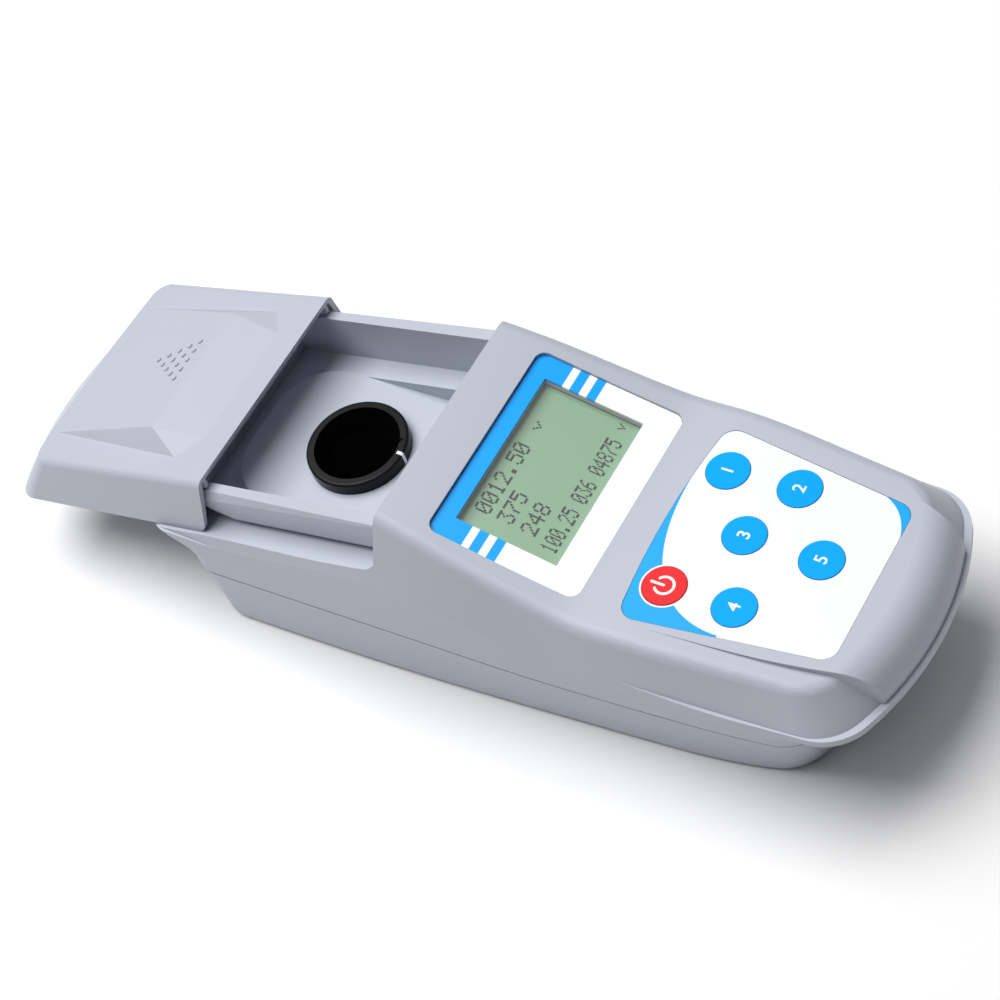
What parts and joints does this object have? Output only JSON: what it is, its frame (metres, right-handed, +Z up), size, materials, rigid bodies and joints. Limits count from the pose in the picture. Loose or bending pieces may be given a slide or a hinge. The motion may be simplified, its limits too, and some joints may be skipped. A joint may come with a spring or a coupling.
{
  "type": "turbidity meter",
  "caption": "Portable turbidity meter: long tapering bench case with a sliding lid over the vial port, tilted display and membrane keypad.",
  "frame": {"origin": "on the flat underside of the case, on its centre plane, halfway along the case", "axes": "+X to the user's right, +Y away from the user towards the lid, +Z up; drawn with the lid slid open"},
  "size_m": [0.0864, 0.2952, 0.0705],
  "materials": {
    "case_plastic": "light blue-grey, finely textured",
    "ring_black": "black, glossy",
    "chamber_black": "black, matt",
    "lens_glass": "clear",
    "led_lens": "clear epoxy",
    "detector_black": "dark epoxy",
    "overlay_print": "white film with blue stripes",
    "window_clear": "clear",
    "bezel_black": "black",
    "lcd_green": "green liquid-crystal cell",
    "light_guide": "milky",
    "board_green": "solder mask",
    "keypad_film": "white and blue film",
    "spacer_film": "translucent white",
    "circuit_film": "amber film",
    "dome_steel": "stainless",
    "key_white": "white, printed ring",
    "key_red": "red, printed power symbol",
    "cell_wrap": "dark wrapped cell",
    "contact_nickel": "nickel plated",
    "chip_black": "moulded",
    "cable_grey": "ribbon",
    "screw_steel": "zinc plated",
    "insert_brass": "knurled",
    "foot_rubber": "matt"
  },
  "bodies": {
    "meter": {"lower_case": "case_plastic", "upper_case": "case_plastic", "port_ring": "ring_black", "sample_chamber": "chamber_black", "source_lens": "lens_glass", "light_source": "led_lens", "scatter_detector": "detector_black", "transmitted_detector": "detector_black", "display_overlay": "overlay_print", "display_window": "window_clear", "lcd_bezel": "bezel_black", "lcd_glass": "lcd_green", "backlight": "light_guide", "lcd_board": "board_green", "keypad_overlay": "keypad_film", "keypad_spacer": "spacer_film", "membrane_circuit": "circuit_film", "dome_switches": "dome_steel", "battery_cells": "cell_wrap", "battery_contacts": "contact_nickel", "battery_springs": "contact_nickel", "main_board": "board_green", "board_components": "chip_black", "buzzer": "chip_black", "optics_board": "board_green", "display_cable": "cable_grey", "optics_cable": "cable_grey", "case_screws": "screw_steel", "thread_inserts": "insert_brass", "board_screws": "screw_steel", "rubber_feet": "foot_rubber"},
    "lid": {"sliding_lid": "case_plastic"},
    "cover": {"battery_cover": "case_plastic"},
    "power_key": {"power_key": "key_red"},
    "query_key": {"query_key": "key_white"},
    "menu_key": {"menu_key": "key_white"},
    "switch_key": {"switch_key": "key_white"},
    "enter_key": {"enter_key": "key_white"},
    "store_key": {"store_key": "key_white"}
  },
  "joints": [
    {"name": "lid_slide", "type": "slide", "parent": "meter", "child": "lid", "axis": [0, -0.981, 0.1942], "range_m": [0, 0.0645]},
    {"name": "battery_cover_hinge", "type": "hinge", "parent": "meter", "child": "cover", "pos_m": [0, -0.0764, 0.00125], "axis": [-1, 0, 0], "range_deg": [0, 60]},
    {"name": "power_key_press", "type": "slide", "parent": "meter", "child": "power_key", "axis": [0, 0.0419, -0.9991], "range_m": [0, 0.00028], "stiffness_N_per_m": 3000, "deforming": ["dome_switches"]},
    {"name": "query_key_press", "type": "slide", "parent": "meter", "child": "query_key", "axis": [0, 0.0419, -0.9991], "range_m": [0, 0.00028], "stiffness_N_per_m": 3000, "deforming": ["dome_switches"]},
    {"name": "menu_key_press", "type": "slide", "parent": "meter", "child": "menu_key", "axis": [0, 0.0419, -0.9991], "range_m": [0, 0.00028], "stiffness_N_per_m": 3000, "deforming": ["dome_switches"]},
    {"name": "switch_key_press", "type": "slide", "parent": "meter", "child": "switch_key", "axis": [0, 0.0419, -0.9991], "range_m": [0, 0.00028], "stiffness_N_per_m": 3000, "deforming": ["dome_switches"]},
    {"name": "enter_key_press", "type": "slide", "parent": "meter", "child": "enter_key", "axis": [0, 0.0419, -0.9991], "range_m": [0, 0.00028], "stiffness_N_per_m": 3000, "deforming": ["dome_switches"]},
    {"name": "store_key_press", "type": "slide", "parent": "meter", "child": "store_key", "axis": [0, 0.0419, -0.9991], "range_m": [0, 0.00028], "stiffness_N_per_m": 3000, "deforming": ["dome_switches"]}
  ]
}
